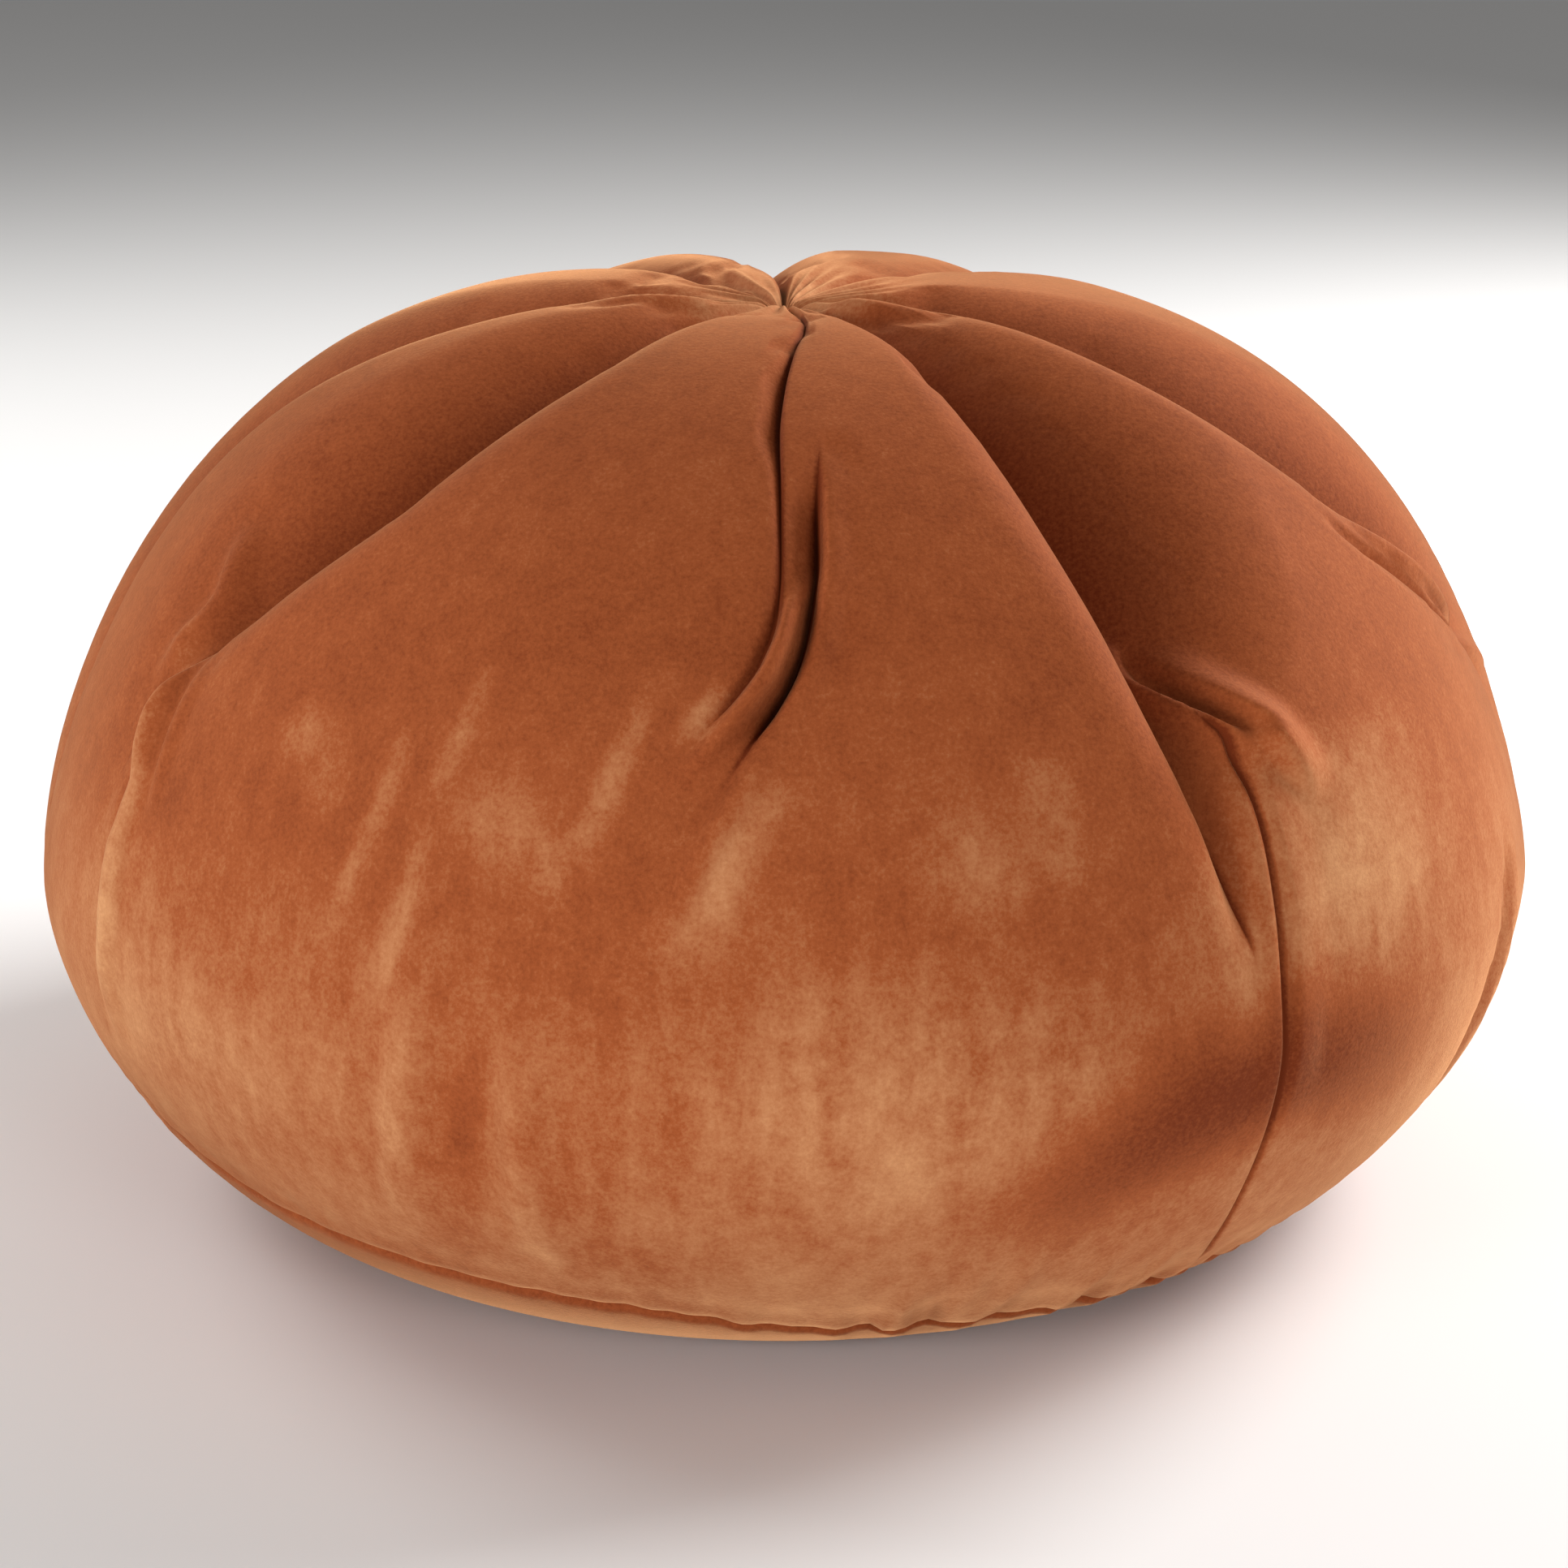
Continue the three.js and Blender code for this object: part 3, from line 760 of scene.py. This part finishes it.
# The grain varies round 1 and makes the marks uneven, most where they are strong
grain = add_node(tree, "ShaderNodeMath", {"operation": "MULTIPLY_ADD"}, {
    0: strokes, 1: GRAIN_OF_STROKES, 2: GRAIN_TAKEN_OFF}).outputs[0]
grain = add_node(tree, "ShaderNodeMath", {"operation": "MULTIPLY_ADD"}, {
    0: patches, 1: GRAIN_OF_PATCHES, 2: grain}).outputs[0]
grain = add_node(tree, "ShaderNodeMath", {"operation": "MULTIPLY_ADD"}, {
    0: mottle, 1: GRAIN_OF_MOTTLE, 2: grain}).outputs[0]
# A little nap is added before the grain and taken off after it, so the plain cloth is mottled too
# The nap attribute carries painted shade in creases, pleats and the base panel and painted light and
# sheen in some marks and low down, so the colour ramp paints them
marked_and_painted_shading = add_node(tree, "ShaderNodeAttribute", {"attribute_name": "nap_and_painted_shading"}).outputs["Fac"]
marked_and_painted_shading = add_node(tree, "ShaderNodeMath", {"operation": "ADD"}, {0: marked_and_painted_shading, 1: NAP_BASE}).outputs[0]
brushed_and_painted_shading = add_node(tree, "ShaderNodeMath", {"operation": "MULTIPLY_ADD"}, {
    0: marked_and_painted_shading, 1: grain, 2: -NAP_BASE}).outputs[0]
tone = add_node(tree, "ShaderNodeMath", {"operation": "MULTIPLY"}, {
    0: fuzz, 1: TONE_OF_FUZZ}).outputs[0]
tone = add_node(tree, "ShaderNodeMath", {"operation": "MULTIPLY_ADD"}, {
    0: brushed_and_painted_shading, 1: TONE_OF_NAP, 2: tone}).outputs[0]
ramp = add_node(tree, "ShaderNodeValToRGB", inputs={"Fac": tone})
ramp.color_ramp.elements[0].position = DARK_TONE
ramp.color_ramp.elements[0].color = linear(PILE_DARK_AND_PAINTED_SHADE)
ramp.color_ramp.elements[1].position = PALE_TONE
ramp.color_ramp.elements[1].color = linear(PILE_PALE_WITH_PAINTED_SHEEN)
ramp.color_ramp.elements.new(MID_TONE).color = linear(PILE_MID)

# The pile's lean tilts the normal down the cloth, along the UV map
across = add_node(tree, "ShaderNodeTangent", {"direction_type": "UV_MAP", "uv_map": "cloth"})
facing = add_node(tree, "ShaderNodeNewGeometry").outputs["Normal"]
upwards = add_node(tree, "ShaderNodeVectorMath", {"operation": "CROSS_PRODUCT"}, {
    0: facing, 1: across.outputs["Tangent"]}).outputs["Vector"]
lean = add_node(tree, "ShaderNodeMath", {"operation": "MULTIPLY_ADD"}, {
    0: brushed_and_painted_shading, 1: LEAN_BRUSHED, 2: LEAN_EVEN}).outputs[0]
leaned = add_node(tree, "ShaderNodeVectorMath", {"operation": "SCALE"}, {
    0: upwards, "Scale": lean}).outputs["Vector"]
leaned = add_node(tree, "ShaderNodeVectorMath", {"operation": "ADD"}, {
    0: facing, 1: leaned}).outputs["Vector"]
leaned = add_node(tree, "ShaderNodeVectorMath", {"operation": "NORMALIZE"}, {
    0: leaned}).outputs["Vector"]
pile = add_node(tree, "ShaderNodeBump", inputs={
    "Strength": 0.35, "Distance": PILE_RELIEF * MM, "Height": fuzz, "Normal": leaned}).outputs["Normal"]
tree.links.new(ramp.outputs["Color"], shader.inputs["Base Color"])
tree.links.new(pile, shader.inputs["Normal"])
shader.inputs["Roughness"].default_value = 0.85
shader.inputs["Specular IOR Level"].default_value = 0.1
shader.inputs["Sheen Weight"].default_value = 0.7
shader.inputs["Sheen Roughness"].default_value = 0.35
shader.inputs["Sheen Tint"].default_value = linear(SHEEN_TIP)

body.data.materials.append(velvet)
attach(body, "root")
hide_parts("pleated_body")

# Base panel: one round piece of the same velvet, sewn to the strip's lower edge. The filling
# presses it flat on the floor, and its rim turns up to the seam.
PANEL_ROWS = 14

inner_sole = floor_rings(FLOOR_SHARES[::-1], PANEL_THICKNESS)
inner = surface_rings(under_downs[::-1], PANEL_THICKNESS, SEAM_DOWN)
inner_rim = surface_rings(
    np.array([SEAM_DOWN + away[-1]]), SEAM_TUCK[-1][1] + RIM_THICKNESS, SEAM_DOWN)
outer_tuck = surface_rings(SEAM_DOWN + away[::-1], sinks[::-1], SEAM_DOWN)
outer_side = surface_rings(
    np.linspace(SEAM_DOWN + away[0], FOOT_DOWN, PANEL_ROWS)[1:-1], 0.0, SEAM_DOWN)
outer_sole = floor_rings((1.0,) + FLOOR_SHARES, 0.0)
panel = closed_skin("round_base_panel", *(
    np.concatenate(parts)
    for parts in zip(inner_sole, inner, inner_rim, outer_tuck, outer_side, outer_sole)))
panel.data.materials.append(velvet)
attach(panel, "root")
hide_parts("base_panel")

# Setting: a plain pale floor under soft studio light, with the largest lamp high behind the right
# side, and a camera that stands a metre off and looks down on the cushion a little.
CAMERA_AWAY = 1.0
CAMERA_RISE = math.radians(18.5)
CAMERA_LENS = 74.4
LOOK_HEIGHT = 0.108
FLOOR_ACROSS = 8.0

bpy.ops.mesh.primitive_plane_add(size=FLOOR_ACROSS)
floor = bpy.context.object
floor.name = "floor"
floor_paint = bpy.data.materials.new("matt_white_floor")
floor_paint.use_nodes = True
floor_shader = floor_paint.node_tree.nodes["Principled BSDF"]
floor_shader.inputs["Base Color"].default_value = linear("#F2F0EE")
floor_shader.inputs["Roughness"].default_value = 0.9
floor.data.materials.append(floor_paint)

world = bpy.data.worlds.new("studio")
bpy.context.scene.world = world
world.use_nodes = True
background = world.node_tree.nodes["Background"]
background.inputs["Color"].default_value = linear("#FFFFFF")
background.inputs["Strength"].default_value = 0.2

# Each lamp stands at an azimuth and an elevation, in degrees, as seen from the cushion
LAMP_AWAY = 1.8
look_at = Vector((0.0, 0.0, LOOK_HEIGHT))
for name, azimuth, elevation, size, power in (
    ("key_lamp", 28, 30, 1.0, 49.0),
    ("back_left_lamp", 150, 32, 0.9, 15.0),
    ("front_left_lamp", -140, 8, 0.7, 17.0),
    ("front_right_lamp", -60, 16, 0.7, 7.0),
):
    turn, lift = math.radians(azimuth), math.radians(elevation)
    level = math.cos(lift)
    towards = Vector((math.cos(turn) * level, math.sin(turn) * level, math.sin(lift)))
    lamp = bpy.data.lights.new(name, "AREA")
    lamp.size = size
    lamp.energy = power
    holder = bpy.data.objects.new(name, lamp)
    bpy.context.scene.collection.objects.link(holder)
    holder.location = look_at + LAMP_AWAY * towards
    holder.rotation_euler = (-towards).to_track_quat("-Z", "Y").to_euler()

camera = bpy.data.cameras.new("camera")
camera.lens = CAMERA_LENS
stand = bpy.data.objects.new("camera", camera)
bpy.context.scene.collection.objects.link(stand)
stand.location = look_at + CAMERA_AWAY * Vector((0.0, -math.cos(CAMERA_RISE), math.sin(CAMERA_RISE)))
stand.rotation_euler = (look_at - stand.location).to_track_quat("-Z", "Y").to_euler()
bpy.context.scene.camera = stand
bpy.context.scene.view_settings.view_transform = "Standard"
